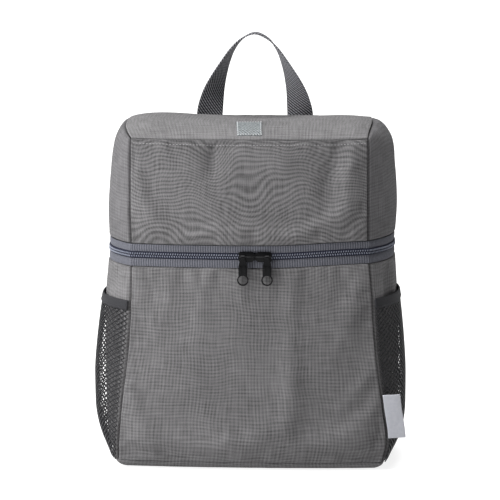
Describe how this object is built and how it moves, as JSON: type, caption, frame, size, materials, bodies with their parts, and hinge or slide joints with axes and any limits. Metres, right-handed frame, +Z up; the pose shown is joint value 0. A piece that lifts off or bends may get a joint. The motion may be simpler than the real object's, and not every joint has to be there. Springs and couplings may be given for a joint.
{
  "type": "cooler backpack",
  "caption": "Soft padded backpack with a lid that a zip closes on three sides, net side pockets, a webbing carry handle and padded shoulder straps.",
  "frame": {"origin": "middle of the flat base, on the floor", "axes": "+Z up, -Y out of the front, +X to the right as seen from the front"},
  "size_m": [0.2967, 0.1956, 0.4003],
  "materials": {
    "cloth": "matte plain weave polyester over foam",
    "zip_tape": "matte ribbed tape",
    "zip_teeth": "dull nylon coil",
    "black_metal": "satin black",
    "net": "matte knitted net",
    "binding": "matte",
    "webbing": "matte ribbed webbing",
    "black_plastic": "matte",
    "patch": "matte woven",
    "label": "satin"
  },
  "bodies": {
    "bag": {"lower_front_panel": "cloth", "lid_front_panel": "cloth", "lower_side_left": "cloth", "lid_side_left": "cloth", "lower_side_right": "cloth", "lid_side_right": "cloth", "back_panel": "cloth", "lid_top_panel": "cloth", "bottom_panel": "cloth", "zip_tape_lower": "zip_tape", "zip_tape_upper": "zip_tape", "zip_teeth_left": "zip_teeth", "zip_teeth_right": "zip_teeth", "slider_left": "black_metal", "slider_right": "black_metal", "pocket_net_left": "net", "pocket_net_right": "net", "pocket_hem_left": "binding", "pocket_hem_right": "binding", "carry_handle": "webbing", "top_patch": "patch", "side_label": "label", "shoulder_strap_left": "cloth", "shoulder_strap_right": "cloth", "strap_loop_left": "webbing", "strap_loop_right": "webbing", "ladder_lock_left": "black_plastic", "ladder_lock_right": "black_plastic", "strap_webbing_left": "webbing", "strap_webbing_right": "webbing"},
    "left_pull": {"pull_left": "black_metal"},
    "right_pull": {"pull_right": "black_metal"}
  },
  "joints": [
    {"name": "left_pull_swing", "type": "hinge", "parent": "bag", "child": "left_pull", "pos_m": [-0.00715, -0.08505, 0.202], "axis": [-1, 0, 0], "range_deg": [0, 170]},
    {"name": "right_pull_swing", "type": "hinge", "parent": "bag", "child": "right_pull", "pos_m": [0.01515, -0.08498, 0.202], "axis": [-1, 0, 0], "range_deg": [0, 170]}
  ]
}
